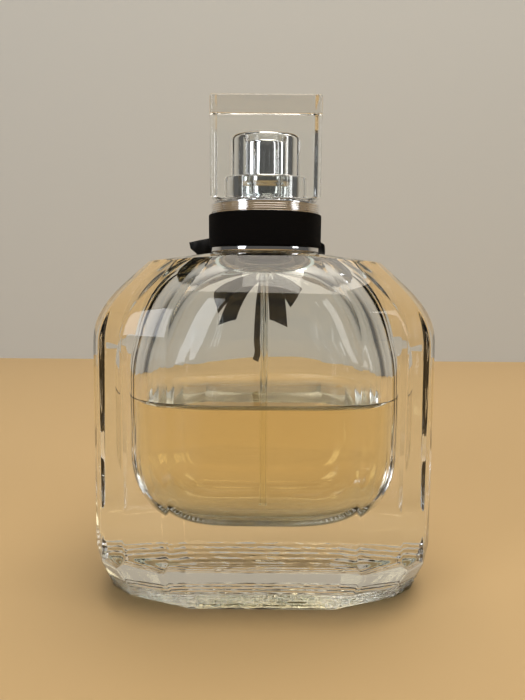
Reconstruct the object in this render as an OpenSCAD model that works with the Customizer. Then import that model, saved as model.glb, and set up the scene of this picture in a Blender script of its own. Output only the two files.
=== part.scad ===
// Faceted glass perfume bottle with a crimped spray pump, a ribboned collar and a square clear cap.
// Origin: centre of the base. +Z runs up the bottle and the bow side faces +Y.

/* [Glass body] */
// Width of the glass body
body_w = 84; // [76:0.5:105]
// Depth of the glass body
body_d = 51; // [44:0.5:62]
// Height of the glass shoulder, where the collar stands
body_h = 85.3; // [76:0.5:103]
// Width of the flat front facet
front_facet_w = 42; // [34:0.5:50]
// How much narrower each wall is at the shoulder than at the heel
wall_draft = 1.1; // [0:0.1:1.5]
// Thickness of the glass in the side walls
side_wall = 12; // [8:0.5:14]
// Thickness of the glass in the front and back walls
front_wall = 6.7; // [5:0.1:9]
// Thickness of the solid glass base
base_wall = 19.5; // [12:0.5:24]
// Thickness of the glass above the cavity
shoulder_wall = 3.6; // [3:0.1:6]
// Level of the perfume above the base
fill_level = 51; // [30:1:60]

/* [Neck and pump] */
// Outer diameter of the neck's bead
neck_bead_d = 15; // [13:0.1:18]
// Bore of the neck
neck_bore_d = 10.5; // [10.4:0.1:11]
// Height of the neck above the shoulder
neck_h = 10.3; // [9.6:0.1:12.5]
// Wall of the crimped ferrule
ferrule_wall = 0.4; // [0.3:0.05:0.6]
// Bore of the pump housing
pump_bore_d = 6.2; // [5.4:0.1:6.4]
// Diameter of the stem
stem_d = 3.6; // [3.2:0.1:4]
// Stroke of the spray head
stroke = 3.6; // [2:0.1:4]
// Outer diameter of the dip tube
tube_d = 2; // [1.6:0.1:2.6]
// Diameter of the inlet ball
ball_d = 2.4; // [2:0.1:2.6]

/* [Spray head] */
// Outer diameter of the chromed shell
head_d = 14.2; // [12.5:0.1:15]
// Height of the chromed shell
head_h = 8; // [7:0.1:9.5]
// Outer diameter of the nozzle insert
nozzle_d = 3.6; // [3:0.1:4.4]

/* [Collar] */
// Outer diameter of the collar
collar_d = 26.7; // [25.5:0.1:30]
// Height of the collar
collar_h = 11.4; // [11:0.1:13.5]
// Height of the bright rim at the bottom of the collar
rim_h = 1.2; // [0.8:0.1:2]
// Height of the grooved band at the top of the collar
groove_band_h = 2.3; // [1.8:0.1:2.6]
// Number of fine grooves in that band
groove_count = 4; // [2:1:5]
// Wall of the ring that grips the cap
grip_wall = 0.7; // [0.5:0.05:1.2]
// Height of the ring that grips the cap
grip_h = 5.8; // [4.8:0.1:7]

/* [Cap] */
// Side of the square cap
cap_w = 25; // [22:0.5:30]
// Height of the cap
cap_h = 22.1; // [20.5:0.1:27]
// Clearance between the cap and the collar under it
cap_gap = 0.5; // [0.3:0.1:1]
// Bevel along the cap's edges
cap_bevel = 0.45; // [0.2:0.05:1]
// Thickness of the cap's clear liner
liner_wall = 0.95; // [0.7:0.05:1.2]

/* [Ribbon] */
// Thickness of the velvet band
band_t = 0.95; // [0.5:0.05:1.2]
// Width of the satin ribbon
ribbon_w = 8.5; // [6:0.5:10]
// Thickness allowed for a fall of ribbon
ribbon_t = 1.2; // [0.8:0.1:1.6]

/* [Hidden] */
$fn = 96;
eps = 0.01;
// Clearance between pieces that are fixed together
seat_gap = 0.04;
// Radial clearance of a running fit
run_gap = 0.05;

half_w = body_w / 2;
half_d = body_d / 2;

// Corners of the plan outline in one quarter, from the front facet round to the side
plan = [
    [front_facet_w / 2, half_d],
    [half_w - 10.3, half_d - 3.6],
    [half_w - 3.7, half_d - 8.9],
    [half_w, half_d - 17.5]
];
// For the front, the three corner facets and the side: inset and height of the heel bevel
heel_in = [6.5, 6.2, 5.2, 2.5, 1.8];
heel_z = [14.8, 14, 12.2, 11.4, 10.8];
// Inset of the narrow bevel that meets the table, and its height
foot_in = [1.1, 2.3, 1.2, 0.6, 0.7];
foot_z = 2.4;
// Inset of the shoulder's crest, and the drops of its crest and its lower edge below the plateau
crest_in = [10.3, 12.4, 14, 14.2, 14];
crest_drop = [0.7, 1.1, 1.7, 2, 2];
shoulder_drop = [18.8, 19.3, 20.3, 21.3, 21.8];
// Breaks of the shoulder between its lower edge and its crest, as shares of inset and height
break_in = [0.21, 0.48];
break_z = [0.41, 0.65];
plateau_r = collar_d / 2 + 0.2;

// Normal direction and distance of the facet between two plan corners
function facet_az(a, b) = atan2(a[0] - b[0], b[1] - a[1]) + 180;
function facet_dist(a, b) = a[0] * cos(facet_az(a, b)) + a[1] * sin(facet_az(a, b));

facets = [
    [90, half_d],
    [facet_az(plan[0], plan[1]), facet_dist(plan[0], plan[1])],
    [facet_az(plan[1], plan[2]), facet_dist(plan[1], plan[2])],
    [facet_az(plan[2], plan[3]), facet_dist(plan[2], plan[3])],
    [0, half_w]
];

cavity_w = body_w - 2 * side_wall;
cavity_d = body_d - 2 * front_wall;
cavity_top = body_h - shoulder_wall;
cavity_h = cavity_top - base_wall;

mouth_z = body_h + neck_h;
bead_h = 3.6;
neck_d = neck_bead_d - 1.8;
gasket_h = 0.8;
flange_h = 1;
flange_z = mouth_z + gasket_h;
ferrule_z = flange_z + flange_h;
ferrule_top = ferrule_z + ferrule_wall;
ferrule_r = neck_bead_d / 2 + run_gap;

seal_z = flange_z - 1.5;
seal_h = 1;
housing_r = 4.3;
piston_h = 2.4;
piston_z = seal_z - piston_h - 1.5;
wire_d = 0.4;
spring_turns = 6;
// The bore is as deep as the stroke and the closed spring need
bore_bottom = piston_z - stroke - spring_turns * wire_d - 1.6;
ball_seat_z = bore_bottom - 2.2;
ball_z = ball_seat_z + sqrt(pow(ball_d / 2, 2) - 0.49) + 0.03;
tube_top = ball_seat_z - 0.6;
tube_bottom = base_wall + 1.5;
housing_bottom = tube_top - 3.1;

head_z = ferrule_top + stroke + 1.6;
head_top = head_z + head_h;
stem_top = head_z + 3.6;
nozzle_z = head_z + 4.9;

collar_z = body_h + 0.2;
collar_r = collar_d / 2;
collar_top = collar_z + collar_h;
band_z = collar_z + rim_h;
band_h = collar_h - rim_h - groove_band_h;
band_r = collar_r - 0.4;
sleeve_wall = 0.55;
top_plate_h = 0.85;
// The grip ring's foot stands round the ferrule, and above it the ring clears the head that sinks into it
grip_foot_r = ferrule_r + ferrule_wall + 0.1;
grip_foot_h = ferrule_top - collar_top;
grip_inner_r = max(grip_foot_r, head_d / 2 + 0.95);
grip_r = grip_inner_r + grip_wall;

cap_z = collar_top + cap_gap;
socket_r = grip_r + run_gap + liner_wall + seat_gap;
socket_top = collar_top + grip_h + 0.1;
dome_r = head_d / 2 + 1.05;
dome_top = head_top + 1.5;

knot_y = band_r + band_t + 2.2;
knot_z = collar_z + 3.4;
knot_h = 5.6;

// A tube standing on z, open at both ends
module tube(r_out, r_in, h, z) {
    translate([0, 0, z]) difference() {
        cylinder(r = r_out, h = h);
        translate([0, 0, -1]) cylinder(r = r_in, h = h + 2);
    }
}

// A rectangle with round corners
module round_rect(w, h, r) {
    square([w - 2 * r, h], center = true);
    square([w, h - 2 * r], center = true);
    for (x = [-1, 1], y = [-1, 1])
        translate([x * (w / 2 - r), y * (h / 2 - r)]) circle(r = r);
}

// The outline of one facet column, seen along its own face
module facet_column(i) {
    face = facets[i][1];
    low = body_h - shoulder_drop[i];
    crest = body_h - crest_drop[i];
    side = [
        [face - heel_in[i] - foot_in[i], 0],
        [face - heel_in[i], foot_z],
        [face + wall_draft / 2, heel_z[i]],
        [face - wall_draft / 2, low],
        [face - break_in[0] * crest_in[i], low + break_z[0] * (crest - low)],
        [face - break_in[1] * crest_in[i], low + break_z[1] * (crest - low)],
        [face - crest_in[i], crest],
        [min(plateau_r, face - crest_in[i] - 0.3), body_h]
    ];
    other = [for (k = [len(side) - 1:-1:0]) [-side[k][0], side[k][1]]];
    polygon(concat(side, other));
}

// The whole outside of the glass: every pair of facet columns cut into one block
module glass_outside() {
    span = body_w + body_d;
    intersection_for (i = [0:len(facets) - 1]) {
        intersection_for (turn = [facets[i][0], 180 - facets[i][0]])
            rotate([0, 0, turn]) rotate([90, 0, 0])
                linear_extrude(height = span, center = true) facet_column(i);
    }
}

// A rectangle whose lower and upper corners are rounded by different radii
module arch_rect(w, h, r_low, r_high) {
    intersection() {
        round_rect(w, h, min(r_low, w / 2 - 0.5));
        translate([0, -h / 2]) square([w + 1, h], center = true);
    }
    intersection() {
        round_rect(w, h, min(r_high, w / 2 - 0.5));
        translate([0, h / 2]) square([w + 1, h], center = true);
    }
}

// The rounded space inside the glass, made smaller all round by the clearance given.
// It is rounder under the shoulder than at the base.
module cavity(clear = 0) {
    w = cavity_w - 2 * clear;
    d = cavity_d - 2 * clear;
    h = cavity_h - 2 * clear;
    mid = base_wall + cavity_h / 2;
    translate([0, 0, mid]) intersection() {
        linear_extrude(height = h, center = true) round_rect(w, d, min(13, d / 2 - 0.5));
        rotate([90, 0, 0]) linear_extrude(height = d, center = true) arch_rect(w, h, 17, 25);
        rotate([90, 0, 90]) linear_extrude(height = w, center = true) arch_rect(d, h, 12, 18);
    }
}

module glass_bottle() {
    color("aliceblue", 0.4) difference() {
        union() {
            glass_outside();
            translate([0, 0, body_h - 1]) cylinder(d = neck_d, h = neck_h + 0.5);
            translate([0, 0, mouth_z - bead_h]) rotate_extrude() polygon([
                [0, 0], [neck_bead_d / 2 - 0.5, 0], [neck_bead_d / 2, 0.5],
                [neck_bead_d / 2, bead_h - 0.5], [neck_bead_d / 2 - 0.5, bead_h], [0, bead_h]
            ]);
        }
        cavity();
        translate([0, 0, cavity_top - 3]) cylinder(d = neck_bore_d, h = mouth_z);
    }
}

module perfume() {
    color("gold", 0.5) difference() {
        intersection() {
            cavity(seat_gap);
            translate([-half_w, -half_d, 0]) cube([body_w, body_d, fill_level]);
        }
        translate([0, 0, tube_bottom]) cylinder(d = tube_d + 2 * seat_gap, h = body_h);
    }
}

module neck_gasket() {
    color("whitesmoke") tube(neck_bead_d / 2 - 0.3, neck_bore_d / 2, gasket_h, mouth_z);
}

// The thin metal cup that is rolled in under the neck's bead
module crimp_ferrule() {
    low = mouth_z - bead_h - 1.1;
    inner = ferrule_r;
    outer = ferrule_r + ferrule_wall;
    color("silver") rotate_extrude() polygon([
        [stem_d / 2 + 0.8, ferrule_z], [inner, ferrule_z], [inner, low + 0.9],
        [neck_d / 2 + 0.3, low + 0.7], [neck_d / 2 + 0.3, low + 0.3], [inner, low],
        [outer, low + 0.3], [outer, ferrule_top], [stem_d / 2 + 0.8, ferrule_top]
    ]);
}

module pump_housing() {
    bore = pump_bore_d / 2;
    seat_r = 4.2;
    color("white", 0.6) rotate_extrude() polygon([
        [tube_d / 2, housing_bottom], [2.4, housing_bottom], [2.4, bore_bottom - 1.2],
        [housing_r, bore_bottom], [housing_r, seal_z - 1], [5, seal_z - 0.6], [5, flange_z],
        [neck_bead_d / 2 - 0.3, flange_z], [neck_bead_d / 2 - 0.3, ferrule_z], [seat_r, ferrule_z],
        [seat_r, seal_z], [bore, seal_z], [bore, bore_bottom], [ball_d / 2 + 0.25, bore_bottom],
        [ball_d / 2 + 0.25, ball_seat_z], [0.7, ball_seat_z], [0.7, tube_top], [tube_d / 2, tube_top]
    ]);
}

module stem_gasket() {
    color("dimgray") tube(4.2 - seat_gap, stem_d / 2 + run_gap, seal_h, seal_z);
}

module pump_closure() {
    z = seal_z + seal_h;
    color("white") tube(4.2 - seat_gap, stem_d / 2 + 0.2, ferrule_z - z, z);
}

// A coil spring: an eight-sided wire swept along a helix
module return_spring() {
    steps = 12;
    coil_r = pump_bore_d / 2 - 0.8;
    low = bore_bottom + wire_d / 2 + seat_gap;
    rise = piston_z - seat_gap - wire_d / 2 - low;
    sides = 8;
    count = spring_turns * steps;
    points = [
        for (i = [0:count], k = [0:sides - 1])
            let (a = i * 360 / steps, b = k * 360 / sides, r = coil_r + wire_d / 2 * cos(b))
                [r * cos(a), r * sin(a), low + rise * i / count + wire_d / 2 * sin(b)]
    ];
    walls = [
        for (i = [0:count - 1], k = [0:sides - 1])
            let (n = (k + 1) % sides)
                [i * sides + k, i * sides + n, (i + 1) * sides + n, (i + 1) * sides + k]
    ];
    first = [[for (k = [sides - 1:-1:0]) k]];
    last = [[for (k = [0:sides - 1]) count * sides + k]];
    color("lightsteelblue") polyhedron(points = points, faces = concat(walls, first, last));
}

module inlet_ball() {
    color("silver") translate([0, 0, ball_z]) sphere(d = ball_d);
}

module piston() {
    r = pump_bore_d / 2 - run_gap;
    color("white") rotate_extrude() polygon([
        [stem_d / 2 + seat_gap, piston_z], [r - 0.5, piston_z], [r, piston_z + 0.3],
        [r, piston_z + 0.8], [r - 0.35, piston_z + 1], [r - 0.35, piston_z + 1.5],
        [r, piston_z + 1.7], [r, piston_z + piston_h], [stem_d / 2 + seat_gap, piston_z + piston_h]
    ]);
}

module stem() {
    color("ivory") tube(stem_d / 2, 0.7, stem_top - piston_z, piston_z);
}

module dip_tube() {
    color("white", 0.5) difference() {
        tube(tube_d / 2 - seat_gap / 2, tube_d / 2 - 0.4, tube_top - tube_bottom, tube_bottom);
        translate([0, 0, tube_bottom]) rotate([0, 35, 0]) cube([6, 6, 1.6], center = true);
    }
}

module head_core() {
    r = head_d / 2 - 0.45;
    color("white") difference() {
        translate([0, 0, head_z + 0.3]) cylinder(r = r, h = head_h - 0.8);
        translate([0, 0, head_z - 1])
            cylinder(r = stem_d / 2 + run_gap, h = stem_top - head_z + 1 + run_gap);
        translate([0, 0, stem_top]) cylinder(r = 0.6, h = nozzle_z - stem_top);
        translate([0, 0, nozzle_z]) rotate([-90, 0, 0]) cylinder(r = 0.5, h = head_d);
        translate([0, head_d / 2 - 2.4, nozzle_z]) rotate([-90, 0, 0])
            cylinder(r = nozzle_d / 2 + seat_gap, h = 5);
        difference() {
            translate([0, 0, head_z]) cylinder(r = r - 1.1, h = 2.2);
            translate([0, 0, head_z]) cylinder(r = stem_d / 2 + 1.2, h = 3);
        }
    }
}

module head_shell() {
    r = head_d / 2;
    color("lightgray") difference() {
        translate([0, 0, head_z]) rotate_extrude() polygon([
            [r - 0.4, 0], [r, 0], [r, head_h - 0.6], [r - 0.18, head_h - 0.18],
            [r - 0.6, head_h], [0, head_h], [0, head_h - 0.45], [r - 0.4, head_h - 0.45]
        ]);
        translate([0, 0, nozzle_z]) rotate([-90, 0, 0])
            cylinder(r = nozzle_d / 2 + seat_gap, h = head_d);
    }
}

module nozzle_insert() {
    color("whitesmoke") translate([0, head_d / 2 - 2.35, nozzle_z]) rotate([-90, 0, 0]) difference() {
        cylinder(d = nozzle_d, h = 2.15);
        translate([0, 0, -1]) cylinder(r = 0.9, h = 2.2);
        cylinder(r = 0.15, h = 4);
        translate([0, 0, 1.85]) cylinder(r = 0.8, h = 1);
    }
}

// The hidden plastic ring that clips the collar to the ferrule
module collar_insert() {
    inner = ferrule_r + ferrule_wall + seat_gap;
    outer = collar_r - 0.4 - sleeve_wall - seat_gap;
    low = collar_z + 0.3;
    high = collar_top - top_plate_h - seat_gap;
    color("white") rotate_extrude() polygon([
        [inner, low + 2.5], [inner + 0.9, low + 2.5], [inner + 0.9, high - 1],
        [outer - 0.9, high - 1], [outer - 0.9, low], [outer, low], [outer, high], [inner, high]
    ]);
}

module collar_sleeve() {
    inner = band_r - sleeve_wall;
    low = band_z + band_h;
    pitch = groove_band_h / (groove_count + 0.6);
    color("silver") difference() {
        union() {
            tube(collar_r, inner, rim_h, collar_z);
            tube(band_r, inner, band_h + eps, band_z - eps / 2);
            tube(collar_r, inner, groove_band_h, low);
            tube(collar_r - 0.3, grip_foot_r, top_plate_h, collar_top - top_plate_h);
        }
        for (i = [0:groove_count - 1])
            tube(collar_r + 1, collar_r - 0.22, 0.14, low + pitch * (i + 0.7));
    }
}

module grip_ring() {
    color("silver") difference() {
        union() {
            tube(grip_r, grip_foot_r, grip_foot_h, collar_top);
            tube(grip_r, grip_inner_r, grip_h, collar_top);
        }
        for (i = [0:2])
            tube(grip_r + 1, grip_r - 0.18, 0.35, collar_top + grip_h * (0.3 + 0.22 * i));
    }
}

module velvet_band() {
    color("black") tube(band_r + band_t, band_r + seat_gap, band_h - 0.1, band_z + 0.05);
}

// A fall of ribbon from under the knot, down the back of the shoulder and the back facet.
// It is turned sideways by the angle, starts beside the middle by the shift and lies further out by the lift.
module ribbon_fall(width, drop, angle, shift, lift) {
    top = knot_z - knot_h / 2 - 0.2;
    start_y = max(half_d - crest_in[0] + 1.2, knot_y + 0.3);
    back_y = half_d + 0.9;
    run = [
        [start_y, top], [start_y + 1.6, body_h - 0.3], [back_y - 4.8, body_h - 7.4],
        [back_y - 2, body_h - 11.6], [back_y, body_h - 18], [back_y, top - drop]
    ];
    inner = [for (p = run) if (p[1] >= top - drop) p];
    outer = [for (k = [len(inner) - 1:-1:0]) inner[k] + [ribbon_t, 0]];
    translate([shift, lift, top]) rotate([0, angle, 0]) rotate([90, 0, 90])
        linear_extrude(height = width, center = true)
            translate([0, -top]) polygon(concat(inner, outer));
}

module bow_knot() {
    color("black") translate([0, knot_y, knot_z]) cube([6, 3.6, knot_h], center = true);
}

// One loop of the bow beside the collar, standing on its edge
module bow_loop(side, reach) {
    start = [side * 3.6, knot_y];
    way = [side * reach, knot_y - 3.6] - start;
    loop_h = 4.4;
    color("black") translate([start[0], start[1], knot_z - 1.9])
        rotate([0, 0, atan2(way[1], way[0])])
            translate([0, -1.3, 0]) cube([norm(way), 2.6, loop_h]);
}

module bow_loop_left() {
    bow_loop(-1, 20);
}

module bow_loop_right() {
    bow_loop(1, 17);
}

module bow_drop_left() {
    color("black") ribbon_fall(ribbon_w - 2.5, 15, 52, -3.6, 2.7);
}

module bow_drop_right() {
    color("black") ribbon_fall(ribbon_w - 2.5, 13, -48, 3.6, 2.7);
}

module tail_left() {
    color("black") ribbon_fall(ribbon_w - 3.5, 21, 25, -4.4, 0);
}

module tail_right() {
    color("black") ribbon_fall(ribbon_w - 3.5, 19, -19, 4.4, 0);
}

module tail_long() {
    color("black") ribbon_fall(2.4, 31, 3, 0, 0);
}

module cap_block() {
    b = cap_bevel;
    color("aliceblue", 0.4) difference() {
        translate([0, 0, cap_z + cap_h / 2]) intersection() {
            linear_extrude(height = cap_h, center = true) bevel_rect(cap_w, cap_w, b);
            rotate([90, 0, 0]) linear_extrude(height = cap_w, center = true) bevel_rect(cap_w, cap_h, b);
            rotate([90, 0, 90]) linear_extrude(height = cap_w, center = true) bevel_rect(cap_w, cap_h, b);
        }
        translate([0, 0, cap_z - 1]) cylinder(r = socket_r, h = socket_top - cap_z + 1);
        translate([0, 0, cap_z]) rotate_extrude() polygon([
            [0, 0], [dome_r, 0], [dome_r, dome_top - cap_z - 1.2],
            [dome_r - 0.4, dome_top - cap_z - 0.4], [dome_r - 1.2, dome_top - cap_z], [0, dome_top - cap_z]
        ]);
    }
}

// A rectangle with its corners cut at 45 degrees
module bevel_rect(w, h, b) {
    x = w / 2;
    y = h / 2;
    polygon([
        [x, y - b], [x - b, y], [b - x, y], [-x, y - b],
        [-x, b - y], [b - x, -y], [x - b, -y], [x, b - y]
    ]);
}

module cap_liner() {
    color("white", 0.5)
        tube(socket_r - seat_gap, grip_r + run_gap, socket_top - cap_z - 0.5, cap_z + 0.4);
}

glass_bottle();
perfume();
neck_gasket();
crimp_ferrule();
pump_housing();
pump_closure();
stem_gasket();
return_spring();
inlet_ball();
piston();
stem();
dip_tube();
head_core();
head_shell();
nozzle_insert();
collar_insert();
collar_sleeve();
grip_ring();
velvet_band();
bow_knot();
bow_loop_left();
bow_loop_right();
bow_drop_left();
bow_drop_right();
tail_left();
tail_right();
tail_long();
cap_block();
cap_liner();
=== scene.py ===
from math import pi, radians

import bmesh
import bpy
import numpy as np
from mathutils import Matrix, Vector


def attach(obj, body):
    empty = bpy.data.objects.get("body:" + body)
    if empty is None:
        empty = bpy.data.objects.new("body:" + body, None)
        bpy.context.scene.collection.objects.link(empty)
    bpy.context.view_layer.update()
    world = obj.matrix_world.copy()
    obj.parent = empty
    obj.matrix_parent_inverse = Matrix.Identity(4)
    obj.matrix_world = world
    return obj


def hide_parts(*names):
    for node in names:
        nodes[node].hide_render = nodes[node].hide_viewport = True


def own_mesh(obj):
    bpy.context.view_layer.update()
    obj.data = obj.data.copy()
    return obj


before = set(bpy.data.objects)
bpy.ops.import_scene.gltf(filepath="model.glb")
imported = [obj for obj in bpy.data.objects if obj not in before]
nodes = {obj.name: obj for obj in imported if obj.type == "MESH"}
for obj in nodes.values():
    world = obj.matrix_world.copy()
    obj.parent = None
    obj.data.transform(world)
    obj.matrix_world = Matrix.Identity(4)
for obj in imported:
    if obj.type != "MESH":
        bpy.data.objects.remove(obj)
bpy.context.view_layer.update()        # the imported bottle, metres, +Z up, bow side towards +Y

mm = 0.001
seed = 7
rng = np.random.default_rng(seed)


def hexLinear(code):
    # each sRGB channel goes to linear: c / 12.92 below 0.04045, else ((c + 0.055) / 1.055) ** 2.4
    c = np.array([int(code[i:i + 2], 16) for i in (1, 3, 5)]) / 255
    lin = np.where(c <= 0.04045, c / 12.92, ((c + 0.055) / 1.055) ** 2.4)
    return (*lin.tolist(), 1.0)


def addNode(tree, kind, settings=None, links=None):
    # one node: attributes by name, sockets by name or index; links maps an input to a node's output
    node = tree.nodes.new(kind)
    for key, value in (settings or {}).items():
        if isinstance(key, int) or key in node.inputs:
            node.inputs[key].default_value = value
        else:
            setattr(node, key, value)
    for key, source in (links or {}).items():
        other, out = source if isinstance(source, tuple) else (source, 0)
        tree.links.new(other.outputs[out], node.inputs[key])
    return node


def newMaterial(name):
    # an empty material and its node tree
    mat = bpy.data.materials.new(name)
    mat.use_nodes = True
    mat.node_tree.nodes.clear()
    return mat, mat.node_tree


def finishMaterial(mat, tree, shader, volume=None):
    # joins the surface's shader, and the inside's where there is one, to the output
    out = addNode(tree, "ShaderNodeOutputMaterial", links={"Surface": shader})
    if volume:
        tree.links.new(volume.outputs[0], out.inputs["Volume"])
    return mat


def clearMaterial(name, ior, tint, rough=0.0, waveMm=0.0, waveHeight=0.0, absorb=None, density=0.0):
    # a clear solid: a tinted dielectric, with a slow ripple in its surface where waveMm is given
    mat, tree = newMaterial(name)
    shader = addNode(tree, "ShaderNodeBsdfPrincipled", {
        "Base Color": hexLinear(tint), "Roughness": rough, "IOR": ior, "Transmission Weight": 1.0})
    if waveMm:
        place = addNode(tree, "ShaderNodeTexCoord")
        wave = addNode(tree, "ShaderNodeTexNoise", {
            "Scale": 1 / (waveMm * mm), "Detail": 1.5, "Roughness": 0.4}, {"Vector": (place, "Object")})
        bump = addNode(tree, "ShaderNodeBump", {"Strength": 1.0, "Distance": waveHeight * mm},
                       {"Height": wave})
        tree.links.new(bump.outputs[0], shader.inputs["Normal"])
    volume = None
    if absorb:
        volume = addNode(tree, "ShaderNodeVolumeAbsorption", {"Color": hexLinear(absorb), "Density": density})
    return finishMaterial(mat, tree, shader, volume)


# Flint glass, pressed and fire-polished: colourless, with the faint ripple that polishing leaves
flintGlass = clearMaterial("flintGlass", 1.51, "#FBFDFC", waveMm=9, waveHeight=0.012,
                           absorb="#E4EFEC", density=1.2)


def stippledGlassMaterial():
    # Flint glass straight from a spark-eroded mould plate: fine pits, which make the underside glitter
    mat, tree = newMaterial("stippledGlass")
    place = addNode(tree, "ShaderNodeTexCoord")
    pits = addNode(tree, "ShaderNodeTexVoronoi", {"Scale": 1 / (1.1 * mm)}, {"Vector": (place, "Object")})
    grain = addNode(tree, "ShaderNodeTexNoise", {"Scale": 1 / (0.6 * mm), "Detail": 3},
                    {"Vector": (place, "Object")})
    mix = addNode(tree, "ShaderNodeMath", {"operation": "ADD"}, {0: (pits, "Distance"), 1: grain})
    bump = addNode(tree, "ShaderNodeBump", {"Strength": 0.55, "Distance": 0.16 * mm}, {"Height": mix})
    shader = addNode(tree, "ShaderNodeBsdfPrincipled", {
        "Base Color": hexLinear("#FAFCFB"), "Roughness": 0.04, "IOR": 1.51, "Transmission Weight": 1.0},
        {"Normal": bump})
    volume = addNode(tree, "ShaderNodeVolumeAbsorption", {"Color": hexLinear("#E4EFEC"), "Density": 1.2})
    return finishMaterial(mat, tree, shader, volume)


stippledGlass = stippledGlassMaterial()

# Alcohol perfume: a thin liquid, pale gold through 40 mm of it
perfumeLiquid = clearMaterial("perfumeLiquid", 1.363, "#FFFFFF", absorb="#F6E184", density=24)

# Cast acrylic, turned and polished: clearer than glass, edges a little soft
castAcrylic = clearMaterial("castAcrylic", 1.49, "#FCFEFD", waveMm=14, waveHeight=0.004)

# Moulded clear polypropylene: slightly milky
clearPolypropylene = clearMaterial("clearPolypropylene", 1.49, "#F2F4F2", rough=0.12)
# Extruded polyethylene tube; where the perfume wets it, light bends only by the ratio of the two
dipTubeClear = clearMaterial("extrudedTube", 1.48, "#F4F4F0", rough=0.03)
dipTubeWet = clearMaterial("extrudedTubeWet", 1.09, "#FBFBF6")


def brightMetal(name, tint, rough, brushMm=0.0, brushHeight=0.0):
    # a polished or lightly turned metal; fine rings round Z where brushMm is given
    mat, tree = newMaterial(name)
    place = addNode(tree, "ShaderNodeTexCoord")
    haze = addNode(tree, "ShaderNodeTexNoise", {"Scale": 1 / (2.5 * mm), "Detail": 4},
                   {"Vector": (place, "Object")})
    roughMap = addNode(tree, "ShaderNodeMapRange", {"To Min": rough * 0.7, "To Max": rough * 1.5},
                       {"Value": haze})
    shader = addNode(tree, "ShaderNodeBsdfPrincipled", {"Base Color": hexLinear(tint), "Metallic": 1.0},
                     {"Roughness": roughMap})
    if brushMm:
        turned = addNode(tree, "ShaderNodeMapping", {"Scale": (0.02, 0.02, 1.0)},
                         {"Vector": (place, "Object")})
        lines = addNode(tree, "ShaderNodeTexNoise", {"Scale": 1 / (brushMm * mm), "Detail": 2},
                        {"Vector": turned})
        bump = addNode(tree, "ShaderNodeBump", {"Strength": 0.6, "Distance": brushHeight * mm},
                       {"Height": lines})
        tree.links.new(bump.outputs[0], shader.inputs["Normal"])
    return finishMaterial(mat, tree, shader)


# Vacuum-chromed aluminium: mirror bright
chromedAluminium = brightMetal("chromedAluminium", "#E9E9EA", 0.07, brushMm=0.35, brushHeight=0.004)
# Drawn aluminium, left as it comes off the press: satin
drawnAluminium = brightMetal("drawnAluminium", "#CFCFCE", 0.28, brushMm=0.25, brushHeight=0.01)
# Stainless wire and ball
stainlessSteel = brightMetal("stainlessSteel", "#B9B9B8", 0.16)


def mouldedPlastic(name, tint, rough):
    # moulded polypropylene: a soft gloss with a very faint orange-peel
    mat, tree = newMaterial(name)
    place = addNode(tree, "ShaderNodeTexCoord")
    peel = addNode(tree, "ShaderNodeTexNoise", {"Scale": 1 / (0.8 * mm), "Detail": 2},
                   {"Vector": (place, "Object")})
    bump = addNode(tree, "ShaderNodeBump", {"Strength": 0.3, "Distance": 0.01 * mm}, {"Height": peel})
    roughMap = addNode(tree, "ShaderNodeMapRange", {"To Min": rough * 0.8, "To Max": rough * 1.2},
                       {"Value": peel})
    shader = addNode(tree, "ShaderNodeBsdfPrincipled", {"Base Color": hexLinear(tint), "IOR": 1.49},
                     {"Roughness": roughMap, "Normal": bump})
    return finishMaterial(mat, tree, shader)


# Moulded polypropylene, filled white: soft gloss
whitePolypropylene = mouldedPlastic("whitePolypropylene", "#EDEDEA", 0.35)
# Moulded nitrile rubber: dull black
blackRubber = mouldedPlastic("nitrileRubber", "#1C1C1C", 0.6)


def velvetMaterial():
    # Woven cotton velvet: a dense black pile with fine cross ribs, dull, and greyer at grazing angles
    mat, tree = newMaterial("blackVelvet")
    uv = addNode(tree, "ShaderNodeTexCoord")
    across = addNode(tree, "ShaderNodeMapping", {"Scale": (9.0, 0.9, 1.0)}, {"Vector": (uv, "UV")})
    ribs = addNode(tree, "ShaderNodeTexWave", {
        "Scale": 1.0, "Distortion": 1.2, "Detail": 1.0, "Detail Scale": 3.0, "bands_direction": "Y"},
        {"Vector": across})
    pile = addNode(tree, "ShaderNodeTexNoise", {"Scale": 1 / (0.22 * mm), "Detail": 4, "Roughness": 0.7},
                   {"Vector": (uv, "Object")})
    tone = addNode(tree, "ShaderNodeMix", {
        "data_type": "RGBA", 6: hexLinear("#020202"), 7: hexLinear("#0A090A")}, {0: pile})
    height = addNode(tree, "ShaderNodeMath", {"operation": "MULTIPLY_ADD", 1: 0.35}, {0: ribs, 2: pile})
    bump = addNode(tree, "ShaderNodeBump", {"Strength": 0.8, "Distance": 0.08 * mm}, {"Height": height})
    shader = addNode(tree, "ShaderNodeBsdfPrincipled", {
        "Roughness": 0.95, "Sheen Weight": 0.06, "Sheen Roughness": 0.3, "Sheen Tint": hexLinear("#6A6468"),
        "Specular IOR Level": 0.15}, {"Base Color": (tone, 2), "Normal": bump})
    return finishMaterial(mat, tree, shader)


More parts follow.
